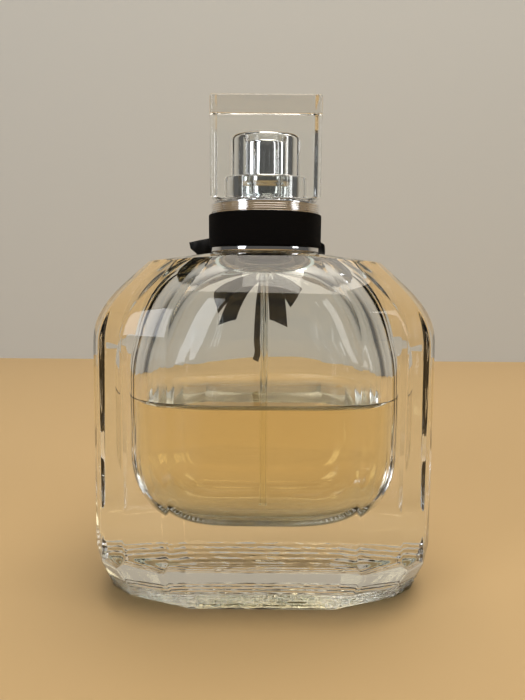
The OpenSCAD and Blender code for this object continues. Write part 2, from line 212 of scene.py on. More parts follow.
def satinMaterial():
    # Woven polyester satin ribbon: fine weft threads across the width, a soft grey gleam along them
    mat, tree = newMaterial("blackSatin")
    uv = addNode(tree, "ShaderNodeTexCoord")
    threads = addNode(tree, "ShaderNodeMapping", {"Scale": (1.0, 3.0, 1.0)}, {"Vector": (uv, "UV")})
    weft = addNode(tree, "ShaderNodeTexWave", {"Scale": 1.0, "Distortion": 0.6, "bands_direction": "Y"},
                   {"Vector": threads})
    cloud = addNode(tree, "ShaderNodeTexNoise", {"Scale": 1 / (1.6 * mm), "Detail": 3},
                    {"Vector": (uv, "Object")})
    tone = addNode(tree, "ShaderNodeMix", {
        "data_type": "RGBA", 6: hexLinear("#0C0C0E"), 7: hexLinear("#2A2A2D")}, {0: cloud})
    bump = addNode(tree, "ShaderNodeBump", {"Strength": 0.5, "Distance": 0.05 * mm}, {"Height": weft})
    shader = addNode(tree, "ShaderNodeBsdfPrincipled", {
        "Roughness": 0.5, "Sheen Weight": 0.2, "Sheen Roughness": 0.3, "Specular IOR Level": 0.35},
        {"Base Color": (tone, 2), "Normal": bump})
    return finishMaterial(mat, tree, shader)


blackVelvet = velvetMaterial()
blackSatin = satinMaterial()
print("materials made")


def meshObject(name, verts, faces, materials, smooth=True, uv=None):
    # a mesh at the origin; each loop's UV is its vertex's row
    mesh = bpy.data.meshes.new(name)
    mesh.from_pydata([tuple(v) for v in np.asarray(verts)], [], [tuple(f) for f in faces])
    mesh.update()
    if uv is not None:
        layer = mesh.uv_layers.new(name="UVMap")
        loops = np.empty(len(mesh.loops), dtype=np.int32)
        mesh.loops.foreach_get("vertex_index", loops)
        layer.data.foreach_set("uv", np.asarray(uv, dtype=np.float32)[loops].ravel())
    for m in materials:
        mesh.materials.append(m)
    mesh.polygons.foreach_set("use_smooth", np.full(len(mesh.polygons), smooth))
    obj = bpy.data.objects.new(name, mesh)
    bpy.context.scene.collection.objects.link(obj)
    return obj


def gridFaces(rows, cols, wrapRows=False, wrapCols=True, offset=0):
    # quads of a rows x cols grid of points, wrapped round where asked
    r = np.arange(rows if wrapRows else rows - 1)
    c = np.arange(cols if wrapCols else cols - 1)
    rr, cc = np.meshgrid(r, c, indexing="ij")
    r2, c2 = (rr + 1) % rows, (cc + 1) % cols
    quads = np.stack([rr * cols + cc, rr * cols + c2, r2 * cols + c2, r2 * cols + cc], -1)
    return (quads.reshape(-1, 4) + offset)


def roundedProfile(points, radii, steps=4):
    # each corner of a closed outline is replaced by an arc of the given radius, as a quadratic curve
    out = []
    n = len(points)
    for i, (p, r) in enumerate(zip(points, radii)):
        p = np.array(p, float)
        a, b = np.array(points[i - 1], float) - p, np.array(points[(i + 1) % n], float) - p
        la, lb = np.linalg.norm(a), np.linalg.norm(b)
        cut = min(r, la * 0.45, lb * 0.45)
        if cut < 1e-6:
            out.append(p)
            continue
        s, e = p + a / la * cut, p + b / lb * cut
        t = np.linspace(0, 1, steps + 1)[:, None]
        out.extend((1 - t) ** 2 * s + 2 * t * (1 - t) * p + t ** 2 * e)
    return np.array(out)


def revolved(name, outline, materials, cols=144, radii=None, steps=4, body="bottle", sharp=32):
    # a closed outline (radius, height) in mm, turned about Z: x = r cos a, y = r sin a, z = height
    pts = roundedProfile(outline, radii if np.ndim(radii) else [radii or 0] * len(outline), steps) * mm
    a = np.arange(cols) * 2 * pi / cols
    r, z = pts[:, :1], pts[:, 1:]
    grid = np.stack([r * np.cos(a), r * np.sin(a), np.broadcast_to(z, (len(pts), cols))], -1)
    length = np.concatenate([[0], np.cumsum(np.linalg.norm(np.diff(pts, axis=0), axis=1))]) / mm
    uv = np.stack(np.meshgrid(length, a * pts[:, 0].max() / mm, indexing="ij")[::-1], -1)
    obj = meshObject(name, grid.reshape(-1, 3), gridFaces(len(pts), cols, wrapRows=True), materials,
                     uv=uv.reshape(-1, 2))
    tidyMesh(obj, sharp)
    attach(obj, body)
    return obj


def tidyMesh(obj, sharp=None):
    # merges doubles such as those on the axis, drops flat faces and points normals outwards
    bm = bmesh.new()
    bm.from_mesh(obj.data)
    bmesh.ops.remove_doubles(bm, verts=bm.verts, dist=2e-7)
    bmesh.ops.dissolve_degenerate(bm, edges=bm.edges, dist=1e-8)
    bmesh.ops.recalc_face_normals(bm, faces=bm.faces)
    bm.to_mesh(obj.data)
    bm.free()
    if sharp:
        obj.data.set_sharp_from_angle(angle=radians(sharp))


view = {
    "lensMm": 27.8, "filmMm": 36, "pitch": 8.5, "roll": 0.45, "yaw": -0.05,
    "distance": 137.8, "height": 81.4, "side": -0.5, "clipStart": 5,
}
camera = bpy.data.objects.new("camera", bpy.data.cameras.new("camera"))
bpy.context.scene.collection.objects.link(camera)
camera.data.sensor_fit = "VERTICAL"
camera.data.sensor_height = view["filmMm"]
camera.data.lens = view["lensMm"]
camera.data.clip_start = view["clipStart"] * mm
camera.location = (view["side"] * mm, -view["distance"] * mm, view["height"] * mm)
camera.rotation_mode = "XYZ"
camera.matrix_world = (
    Matrix.Translation(camera.location)
    @ Matrix.Rotation(radians(view["yaw"]), 4, "Z")
    @ Matrix.Rotation(radians(90 - view["pitch"]), 4, "X")
    @ Matrix.Rotation(radians(view["roll"]), 4, "Z"))
bpy.context.scene.camera = camera


def plainMaterial(name, tint, rough):
    # a flat, matt studio surface
    mat, tree = newMaterial(name)
    shader = addNode(tree, "ShaderNodeBsdfPrincipled", {"Base Color": hexLinear(tint), "Roughness": rough})
    return finishMaterial(mat, tree, shader)


stage = {
    "floor": "#C6A777", "wall": "#D0D3D2", "reach": 1500,
    "wallBehind": 345, "wallLow": -600, "wallHigh": 1800,
}


def stagePlane(name, corners, material):
    # one flat panel of the studio
    obj = meshObject(name, np.array(corners) * mm, [(0, 1, 2, 3)], [material], smooth=False)
    return obj


reach, back = stage["reach"], stage["wallBehind"]
stagePlane("floor", [(-reach, -reach, 0), (reach, -reach, 0), (reach, back, 0), (-reach, back, 0)],
           plainMaterial("paleFloor", stage["floor"], 0.55))
low, high = stage["wallLow"], stage["wallHigh"]
stagePlane("backWall", [(-reach, back, low), (reach, back, low), (reach, back, high), (-reach, back, high)],
           plainMaterial("paleWall", stage["wall"], 0.8))


def areaLight(name, size, energy, place, target, tint="#FFFFFF"):
    # a soft panel of light at place that faces target
    data = bpy.data.lights.new(name, "AREA")
    data.shape = "RECTANGLE"
    data.size, data.size_y = size[0] * mm, size[1] * mm
    data.energy = energy
    data.color = hexLinear(tint)[:3]
    obj = bpy.data.objects.new(name, data)
    bpy.context.scene.collection.objects.link(obj)
    obj.location = Vector(place) * mm
    obj.rotation_mode = "QUATERNION"
    obj.rotation_quaternion = (Vector(target) * mm - obj.location).to_track_quat("-Z", "Y")
    return obj


areaLight("ceilingLight", (1300, 900), 16.0, (150, 50, 1150), (0, 60, 0), "#FFF6E8")
areaLight("windowLight", (260, 700), 2.6, (-650, -560, 420), (0, 0, 70), "#F6F9FF")
areaLight("fillLight", (200, 500), 1.0, (700, -300, 380), (0, 0, 60), "#FFFFFF")
room = {"tint": "#8E8C88", "strength": 0.36, "bounces": 28, "clearBounces": 16}
world = bpy.data.worlds.new("roomLight")
bpy.context.scene.world = world
world.use_nodes = True
world.node_tree.nodes["Background"].inputs["Color"].default_value = hexLinear(room["tint"])
world.node_tree.nodes["Background"].inputs["Strength"].default_value = room["strength"]
bpy.context.scene.cycles.max_bounces = room["bounces"]
bpy.context.scene.cycles.transmission_bounces = room["bounces"]
bpy.context.scene.cycles.transparent_max_bounces = room["clearBounces"]
bpy.context.scene.cycles.caustics_refractive = True
bpy.context.scene.view_settings.view_transform = "Standard"
print("camera, stage and lights set")


body = {
    "halfW": 42.0, "halfD": 25.5, "top": 85.3, "frontHalf": 21.0, "draft": 1.1, "plateau": 13.55,
    "heelIn": [6.5, 6.2, 5.2, 2.5, 1.8], "heelZ": [14.8, 14, 12.2, 11.4, 10.8],
    "footIn": [1.1, 2.3, 1.2, 0.6, 0.7], "footZ": 2.4,
    "crestIn": [10.3, 12.4, 14, 14.2, 14], "crestDrop": [0.7, 1.1, 1.7, 2, 2],
    "shoulderDrop": [18.8, 19.3, 20.3, 21.3, 21.8],
    "edgePoints": [56, 16, 12, 12, 22],
    "crease": 2.6,           # radius that fire-polishing leaves along the upright creases
    "polish": 1.1,           # and how far it reaches along the outline from each level crease
}
glass = {
    "cavityHalf": (30.0, 18.8), "cavityLow": 19.5, "cavityHigh": 81.9,
    "uneven": 0.09, "floorHalf": (12.0, 4.5), "lowRise": (19.0, 16.0), "highRise": (27.0, 21.0),
    "lowPower": (2.3, 2.2), "highPower": 2.05,
    "neckRadius": 6.6, "beadRadius": 7.5, "boreRadius": 5.25, "mouth": 95.6, "bead": 3.6, "cols": 192,
}


def archHalf(z, half, flat, low, lowRise, high, highRise, power):
    # half the cavity's width at height z: a quarter of a superellipse rises from the floor's flat half to the
    # wall over lowRise, and another closes from the wall to the bore over highRise
    v = np.clip((z - low) / lowRise, 0, 1)
    u = np.clip((high - z) / highRise, 0, 1)
    bottom = flat + (half - flat) * (1 - (1 - v) ** power[0]) ** (1 / power[0])
    bore = glass["boreRadius"]
    dome = bore + (half - bore) * (1 - (1 - u) ** power[1]) ** (1 / power[1])
    return np.minimum(bottom, dome)


def cavityGrid(zs, cols, grow=0.0):
    # rings of the cavity: superellipses in plan, |x / a| ^ m + |y / b| ^ m = 1, that turn round at the bore
    g = glass
    zs = np.asarray(zs, float)[:, None]
    low, high = g["cavityLow"] - grow, g["cavityHigh"] + grow
    a, b = (archHalf(zs, g["cavityHalf"][i], g["floorHalf"][i], low, g["lowRise"][i], high, g["highRise"][i],
                     (g["lowPower"][i], g["highPower"])) + grow for i in (0, 1))
    near = np.clip((high - zs) / 24, 0, 1)
    m = 2 + 1.1 * near ** 0.7
    angle = np.arange(cols)[None] * 2 * pi / cols + 1e-4
    c, t = np.cos(angle), np.sin(angle)
    # the blown inside is slightly uneven: slow waves round it and up it, none where it meets the bore
    slow = np.sin(3 * angle + zs / 7 + 1) * np.sin(zs / 5.5 + 2 * angle)
    wave = g["uneven"] * near * (slow + 0.6 * np.sin(7 * angle - zs / 9))
    a, b = a + wave, b + wave
    x = a * np.sign(c) * np.abs(c) ** (2 / m)
    y = b * np.sign(t) * np.abs(t) ** (2 / m)
    return np.stack([x, y, np.broadcast_to(zs, x.shape)], -1)


def cavityHeights(grow=0.0):
    # heights crowd towards the floor and the bore as 1 - cos, so that both rounded ends come out smooth
    g = glass
    low, high = g["cavityLow"] - grow, g["cavityHigh"] + grow
    lift, fall = max(g["lowRise"]), max(g["highRise"])
    start = low + lift * (1 - np.cos(np.linspace(0, pi / 2, 40)))
    middle = np.linspace(low + lift, high - fall, 8)[1:-1]
    end = high - fall * (1 - np.cos(np.linspace(pi / 2, 0, 44)))
    return np.concatenate([start, middle, end])


dish = {
    "rings": 78, "depth": 0.55, "ringPitch": 2.2, "ringHeight": 0.2, "stipple": 0.07,
    "knurlTop": 6.2, "knurl": 0.2, "knurlPitch": 1.25, "grain": 0.06,
}


def facetNormals():
    # the plan's corners in one quarter give five facets; each facet's normal is its edge turned by a quarter
    q = body
    plan = np.array([[q["frontHalf"], q["halfD"]], [q["halfW"] - 10.3, q["halfD"] - 3.6],
                     [q["halfW"] - 3.7, q["halfD"] - 8.9], [q["halfW"], q["halfD"] - 17.5]])
    edge = np.diff(plan, axis=0)
    normal = np.stack([-edge[:, 1], edge[:, 0]], -1)
    normal = np.abs(normal / np.linalg.norm(normal, axis=1, keepdims=True))
    reach = (normal * plan[:-1]).sum(1)
    angle = np.concatenate([[pi / 2], np.arctan2(normal[:, 1], normal[:, 0]), [0]])
    return angle, np.concatenate([[q["halfD"]], reach, [q["halfW"]]])


def facetProfile(i, reach, zs):
    # one facet's distance from the axis at each height: foot, heel bevel and drafted wall are straight, the
    # shoulder is a cubic curve that leaves the wall along it and meets the crest, and every crease is softened
    q = body
    wall, low, crest = reach - q["draft"] / 2, q["top"] - q["shoulderDrop"][i], q["top"] - q["crestDrop"][i]
    p0, p3 = np.array([wall, low]), np.array([reach - q["crestIn"][i], crest])
    up = np.array([-q["draft"], low - q["heelZ"][i]])
    lean = np.array([-0.52 * q["crestIn"][i], 0.35 * (crest - low)])
    p1 = p0 + up / np.linalg.norm(up) * 0.45 * (crest - low)
    p2 = p3 - lean / np.linalg.norm(lean) * 0.62 * q["crestIn"][i]
    t = np.linspace(0, 1, 22)[:, None]
    curve = (1 - t) ** 3 * p0 + 3 * t * (1 - t) ** 2 * p1 + 3 * t ** 2 * (1 - t) * p2 + t ** 3 * p3
    foot = [(reach - q["heelIn"][i] - q["footIn"][i], 0), (reach - q["heelIn"][i], q["footZ"]),
            (reach + q["draft"] / 2, q["heelZ"][i])]
    line = [(0, 0)] + foot + curve.tolist() + [(q["plateau"], q["top"]), (0, q["top"])]
    soft = [0, 0.35, q["polish"], q["polish"] * 1.6] + [0] * (len(curve) - 1) + [q["polish"] * 1.4, 0.5, 0]
    line = roundedProfile(line, soft, steps=7)
    return np.interp(zs, line[:, 1], line[:, 0])


def facetRings(zs, arc=5):
    # at each height the facets' lines cross in a polygon, whose corners become arcs of the crease radius:
    # a corner's arc starts radius * tan(turn / 2) before it on both edges
    angle, reach = facetNormals()
    dist = np.array([facetProfile(i, r, zs) for i, r in enumerate(reach)]).T
    turn = np.concatenate([angle[::-1], pi - angle[1:], pi + angle[::-1][1:], 2 * pi - angle[1:-1]])
    order = [4, 3, 2, 1, 0, 1, 2, 3, 4, 3, 2, 1, 0, 1, 2, 3]
    d = dist[:, order]
    d2, t2 = np.roll(d, -1, axis=1), np.roll(turn, -1)
    n1, n2 = np.stack([np.cos(turn), np.sin(turn)]), np.stack([np.cos(t2), np.sin(t2)])
    det = n1[0] * n2[1] - n1[1] * n2[0]
    corner = np.stack([(d * n2[1] - d2 * n1[1]) / det, (d2 * n1[0] - d * n2[0]) / det], -1)
    half = np.mod(t2 - turn, 2 * pi) / 2
    before, after = np.roll(corner, 1, axis=1) - corner, np.roll(corner, -1, axis=1) - corner
    lb, la = np.linalg.norm(before, axis=-1), np.linalg.norm(after, axis=-1)
    cut = np.minimum(body["crease"] * np.tan(half)[None], 0.42 * np.minimum(lb, la))[..., None]
    start, end = corner + before / lb[..., None] * cut, corner + after / la[..., None] * cut
    t = np.linspace(0, 1, arc)[:, None]
    pts = ((1 - t) ** 2 * start[:, :, None] + 2 * t * (1 - t) * corner[:, :, None] + t ** 2 * end[:, :, None])
    runs = []
    for i in range(16):
        nextStart = start[:, (i + 1) % 16]
        u = np.linspace(0, 1, body["edgePoints"][order[(i + 1) % 16]] + 2)[1:-1, None]
        runs += [pts[:, i], end[:, i, None] * (1 - u) + nextStart[:, None] * u]
    flat = np.concatenate(runs, axis=1)
    return np.concatenate([flat, np.broadcast_to(np.asarray(zs)[:, None, None], flat.shape[:2] + (1,))], -1)


def outsideHeights():
    # heights crowd where the outline turns: foot, heel, and the shoulder up to the plateau
    parts = [np.linspace(0.0, 6.6, 36), np.linspace(7.2, 9.8, 4), np.linspace(10.2, 16.4, 22),
             np.linspace(20, 60, 6), np.linspace(62, 80, 34), np.linspace(80.4, 83, 9),
             np.linspace(83.1, body["top"], 24)]
    return np.concatenate(parts)


def makeGlass():
    # the outside's rings stand on the dished underside; the neck, bore and cavity are rings of their own, and
    # a triangle fill joins the two at the plateau
    g = glass
    zs = outsideHeights()
    rings = facetRings(zs)
    perRing = rings.shape[1]
    # the lowest few millimetres carry the mould's stippled knurl: level ridges with a rough grain on them
    q = dish
    grain = rng.normal(size=rings.shape[:2])
    grain = grain + np.roll(grain, 1, axis=1) + 0.5 * np.roll(grain, 2, axis=1)
    z = rings[..., 2]
    fade = np.clip(z / 0.8, 0, 1) * np.clip((q["knurlTop"] - z) / 0.9, 0, 1)
    relief = fade * (q["knurl"] * np.cos(z * 2 * pi / q["knurlPitch"]) + q["grain"] * grain - q["knurl"])
    radius = np.linalg.norm(rings[..., :2], axis=-1)
    rings[..., :2] *= (1 + relief / radius)[..., None]
    # the underside: a narrow flat rim round a shallow dish, whose rings and stipple are real relief
    share = np.concatenate([[0.99, 0.97], np.linspace(0.955, 0.02, q["rings"])])
    base = rings[0][None, :, :2]
    inward = np.linalg.norm(base * np.clip(0.955 - share, 0, 1)[:, None, None], axis=-1)
    edge = np.clip(inward / 1.4, 0, 1)
    relief = q["ringHeight"] * np.cos(inward * 2 * pi / q["ringPitch"])
    relief = relief + q["stipple"] * rng.normal(size=inward.shape)
    z = edge * edge * (3 - 2 * edge) * (q["depth"] + 0.03 * inward + relief)
    z[-3:] = z[-3:].mean()
    hollow = np.concatenate([base * share[:, None, None], z[..., None]], -1)
    grid = np.concatenate([hollow[::-1], rings])
    faces = [tuple(f) for f in gridFaces(len(grid), perRing)]
    pole = len(grid) * perRing
    faces += [(pole, (i + 1) % perRing, i) for i in range(perRing)]
    pts = np.concatenate([grid.reshape(-1, 3), [[0, 0, z[-1, 0]]]])
    cols = g["cols"]
    a = np.arange(cols) * 2 * pi / cols + 1e-4
    outer, lip, bore, under = g["neckRadius"], g["beadRadius"], g["boreRadius"], g["mouth"] - g["bead"]
    neck = roundedProfile(
        [(outer + 0.9, body["top"]), (outer, body["top"]), (outer, under), (lip, under + 0.3),
         (lip, g["mouth"]), (bore, g["mouth"]), (bore, g["cavityHigh"] + 0.25)],
        [0, 0.8, 0.5, 0.5, 0.6, 0.4, 0])
    inner = [np.stack([r * np.cos(a), r * np.sin(a), np.full(cols, z)], -1) for r, z in neck]
    cavity = cavityGrid(cavityHeights()[::-1], cols)[1:]
    floor = np.array([0.8, 0.5, 0.2])[:, None, None] * cavity[-1][None]
    floor[..., 2] = g["cavityLow"]
    inner = np.concatenate([np.array(inner), cavity, floor])
    offset = len(pts)
    faces += [tuple(f) for f in gridFaces(len(inner), cols, offset=offset)]
    floorPole = offset + inner.shape[0] * cols
    last = floorPole - cols
    faces += [(last + i, last + (i + 1) % cols, floorPole) for i in range(cols)]
    pts = np.concatenate([pts, inner.reshape(-1, 3), [[0, 0, g["cavityLow"]]]]) * mm
    obj = meshObject("glassBottle", pts, faces, [flintGlass, stippledGlass])
    bm = bmesh.new()
    bm.from_mesh(obj.data)
    bmesh.ops.triangle_fill(bm, edges=[e for e in bm.edges if e.is_boundary], use_beauty=True)
    bmesh.ops.recalc_face_normals(bm, faces=bm.faces)
    bm.to_mesh(obj.data)
    bm.free()
    faceNormals(obj)
    mesh = obj.data
    middle = np.empty(len(mesh.polygons) * 3)
    mesh.polygons.foreach_get("center", middle)
    normal = np.empty(len(mesh.polygons) * 3)
    mesh.polygons.foreach_get("normal", normal)
    under = (middle[2::3] < 2.5 * mm) & (normal[2::3] < -0.5) & (np.abs(middle[1::3]) < 17 * mm)
    mesh.polygons.foreach_set("material_index", under.astype(np.int32))
    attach(obj, "bottle")
    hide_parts("glass_bottle")
    return obj


def faceNormals(obj):
    # each corner's normal is the sum of the normals of the faces round it, weighted by their areas, so that
    # the broad facets stay flat and only the narrow bevels between them turn
    mesh = obj.data
    mesh.polygons.foreach_set("use_smooth", np.full(len(mesh.polygons), True))
    normals = np.zeros((len(mesh.vertices), 3))
    faceN = np.empty(len(mesh.polygons) * 3)
    mesh.polygons.foreach_get("normal", faceN)
    area = np.empty(len(mesh.polygons))
    mesh.polygons.foreach_get("area", area)
    total = np.empty(len(mesh.polygons), dtype=np.int32)
    mesh.polygons.foreach_get("loop_total", total)
    verts = np.empty(len(mesh.loops), dtype=np.int32)
    mesh.loops.foreach_get("vertex_index", verts)
    face = np.repeat(np.arange(len(total)), total)
    np.add.at(normals, verts, (faceN.reshape(-1, 3) * area[:, None])[face])
    normals /= np.linalg.norm(normals, axis=1, keepdims=True)
    mesh.normals_split_custom_set_from_vertices(normals.tolist())


makeGlass()
print("glass bottle made")

liquid = {"level": 49.4, "overlap": 0.12, "climb": 1.9, "reach": 1.5, "cols": 160}


def makePerfume():
    # the liquid fills the cavity and laps into the glass by a hair, so that light passes from one to the other;
    # its top is level and climbs the wall as climb * exp(-distance / reach)
    q = liquid
    cols = q["cols"]
    rimZ = q["level"] + q["climb"]
    rim = cavityGrid([rimZ], cols, q["overlap"])[0]
    k = np.concatenate([np.linspace(0.02, 0.75, 12), 1 - 0.25 * np.linspace(1, 0, 30)[1:] ** 1.9])
    gap = (1 - k)[:, None] * np.linalg.norm(rim[:, :2], axis=1)[None]
    top = np.concatenate([rim[None, :, :2] * k[:, None, None],
                          (q["level"] + q["climb"] * np.exp(-gap / q["reach"]))[..., None]], -1)
    zs = cavityHeights(q["overlap"])
    zs = zs[zs < rimZ - 0.3][::-1]
    side = cavityGrid(zs, cols, q["overlap"])
    floor = np.array([0.7, 0.3])[:, None, None] * side[-1][None]
    floor[..., 2] = side[-1, 0, 2]
    grid = np.concatenate([top, side, floor])
    pts = np.concatenate([grid.reshape(-1, 3), [[0, 0, q["level"]], [0, 0, zs[-1]]]]) * mm
    faces = [tuple(f) for f in gridFaces(len(grid), cols)]
    n = len(grid) * cols
    faces += [(n, (i + 1) % cols, i) for i in range(cols)]
    faces += [(n - cols + i, n - cols + (i + 1) % cols, n + 1) for i in range(cols)]
    obj = meshObject("perfumeLiquid", pts, faces, [perfumeLiquid])
    tidyMesh(obj)
    faceNormals(obj)
    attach(obj, "bottle")
    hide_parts("perfume")
    return obj


makePerfume()
print("perfume made")


cap = {"half": 12.5, "low": 97.4, "high": 119.5, "edge": 0.45, "socketR": 9.79, "socketTop": 102.8,
       "domeR": 8.15, "domeTop": 112.5, "cols": 192}


def roundedSquare(half, corner, cols):
    # a square outline with round corners, at equal angles: the corner's arc where both sides are near
    a = np.arange(cols) * 2 * pi / cols
    c, s = np.cos(a), np.sin(a)
    r = half / np.maximum(np.abs(c), np.abs(s))
    p = np.stack([r * c, r * s], -1)
    inner = half - corner
    core = np.clip(p, -inner, inner)
    d = p - core
    n = np.linalg.norm(d, axis=1, keepdims=True)
    both = (np.abs(p) > inner).all(1)
    p[both] = core[both] + d[both] / n[both] * corner
    return p


def makeCap():
    # rings up the outside of the rounded block, over its top to the middle, and rings of the stepped socket
    q = cap
    cols = q["cols"]
    t = np.linspace(0, pi / 2, 5)
    rings = []
    e = q["edge"]

    def square(shrink, z):
        # one ring of the block at height z, drawn in by shrink
        flat = roundedSquare(q["half"] - shrink, max(e * 1.3 - shrink, 0.12), cols)
        return np.concatenate([flat, np.full((cols, 1), z)], 1)

    for u in t:
        rings.append(square(e * (1 - np.sin(u)), q["low"] + e * (1 - np.cos(u))))
    for z in np.linspace(q["low"] + e, q["high"] - e, 6)[1:-1]:
        rings.append(square(0, z))
    for u in t:
        rings.append(square(e * (1 - np.cos(u)), q["high"] - e * (1 - np.sin(u))))
    for k in (0.97, 0.9, 0.7, 0.45, 0.2):
        last = square(e, q["high"])
        last[:, :2] *= k
        rings.append(last)
    socket = roundedProfile(
        [(q["socketR"], q["low"]), (q["socketR"], q["socketTop"]), (q["domeR"], q["socketTop"]),
         (q["domeR"], q["domeTop"]), (0.4, q["domeTop"])], [0.25, 0.35, 0.4, 1.3, 0], steps=5)
    a = np.arange(cols) * 2 * pi / cols
    under = [np.stack([r * np.cos(a), r * np.sin(a), np.full(cols, z)], -1) for r, z in socket[::-1]]
    grid = np.array(under + rings)
    n = len(grid) * cols
    pts = np.concatenate([grid.reshape(-1, 3), [[0, 0, q["domeTop"]], [0, 0, q["high"]]]]) * mm
    faces = [tuple(f) for f in gridFaces(len(grid), cols)]
    faces += [(n, (i + 1) % cols, i) for i in range(cols)]
    faces += [(n - cols + i, n - cols + (i + 1) % cols, n + 1) for i in range(cols)]
    obj = meshObject("capBlock", pts, faces, [castAcrylic])
    tidyMesh(obj)
    faceNormals(obj)
    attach(obj, "cap")
    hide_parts("cap_block")
    return obj


makeCap()
liner = revolved("capLiner", [(8.80, 97.85), (9.74, 97.85), (9.74, 102.65), (8.80, 102.65)],
                 [clearPolypropylene], radii=0.15, body="cap")
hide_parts("cap_liner")
print("cap made")


def standFor(obj, node):
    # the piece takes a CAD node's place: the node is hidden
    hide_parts(node)
    return obj


def collarSleeve():
    # a thin sleeve: bright rim, recess for the band, four fine rounded ribs and a flat top plate
    r, low, high = 13.35, 85.5, 96.9
    pitch, first = 0.5, 94.85
    outline = [(12.4, low), (r, low), (r, low + 1.2), (12.95, low + 1.25), (12.95, 94.6), (r, 94.62)]
    rounds = [0.1, 0.3, 0.25, 0, 0, 0.06]
    for i in range(4):
        z = first + pitch * i
        outline += [(r - 0.24, z), (r, z + pitch * 0.3), (r, z + pitch * 0.7)]
        rounds += [0.05, 0.12, 0.12]
    outline += [(r, high), (8.05, high), (8.05, high - 0.85), (12.4, high - 0.85)]
    rounds += [0.35, 0, 0, 0.2]
    return revolved("collarSleeve", outline, [chromedAluminium], radii=rounds, steps=4, cols=192)


standFor(collarSleeve(), "collar_sleeve")


def gripRing():
    # the ring that holds the cap: a foot, a waist and a rolled lip
    low, high, r, inner = 96.9, 102.7, 8.75, 8.05
    waist = 8.3
    outline = [(inner, low), (r, low), (r, low + 1.3), (waist, low + 1.7), (waist, high - 2.1), (r, high - 1.5),
               (r, high), (inner, high)]
    rounds = [0, 0.25, 0.3, 0.3, 0.3, 0.35, 0.4, 0.15]
    return revolved("gripRing", outline, [chromedAluminium], radii=rounds, cols=160)


standFor(gripRing(), "grip_ring")


def headShell():
    # a drawn cap: straight side, rolled shoulder and a very slightly dished top
    r, low, high = 7.1, 103.0, 111.0
    outline = [(r - 0.4, low), (r, low), (r, high), (4.6, high), (0.0, high - 0.18),
               (0.0, high - 0.6), (r - 0.4, high - 0.6)]
    return revolved("headShell", outline, [chromedAluminium], radii=[0.1, 0.15, 0.9, 0.6, 0, 0, 0.5],
                    steps=6, body="spray_head")


standFor(headShell(), "head_shell")


def velvetBand():
    # a soft band: a thin ring whose outer edges are rounded
    low, high, inner, outer = 86.75, 94.55, 12.99, 13.92
    outline = [(inner, low), (outer, low), (outer, high), (inner, high)]
    return revolved("velvetBand", outline, [blackVelvet], radii=[0.1, 0.55, 0.55, 0.1], steps=6, cols=192)


standFor(velvetBand(), "velvet_band")


def dipTube():
    # an open tube; the part under the liquid's level has its own material, since it bends light less there
    out, inner, low, high = 1.0, 0.6, 21.0, 80.6
    level = liquid["level"]
    outline = [(inner, low), (out, low), (out, level), (out, high), (inner, high), (inner, level)]
    obj = revolved("dipTube", outline, [dipTubeClear, dipTubeWet], cols=48, radii=0)
    middle = np.empty(len(obj.data.polygons) * 3)
    obj.data.polygons.foreach_get("center", middle)
    wet = middle[2::3] < level * mm
    obj.data.polygons.foreach_set("material_index", wet.astype(np.int32))
    return obj


standFor(dipTube(), "dip_tube")


def returnSpring():
    # a copy of the coil spring's mesh, tidied, with stainless steel for its material
    source = nodes["return_spring"]
    data = source.data.copy()
    obj = bpy.data.objects.new("returnSpring", data)
    bpy.context.scene.collection.objects.link(obj)
    tidyMesh(obj, 60)
    obj.data.materials.clear()
    obj.data.materials.append(stainlessSteel)
    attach(obj, "bottle")
    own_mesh(obj)
    return obj


standFor(returnSpring(), "return_spring")


def smoothPath(points, steps):
    # a curve through the points: between two of them, a cubic whose end slopes are half the chord across each
    p = np.array(points, float)
    ext = np.concatenate([[2 * p[0] - p[1]], p, [2 * p[-1] - p[-2]]])
    u = np.linspace(0, len(p) - 1, steps)
    i = np.minimum(u.astype(int), len(p) - 2)
    t = (u - i)[:, None]
    a, b, c, d = ext[i], ext[i + 1], ext[i + 2], ext[i + 3]
    square, cube = 2 * a - 5 * b + 4 * c - d, 3 * b - a - 3 * c + d
    return 0.5 * (2 * b + (c - a) * t + square * t ** 2 + cube * t ** 3)


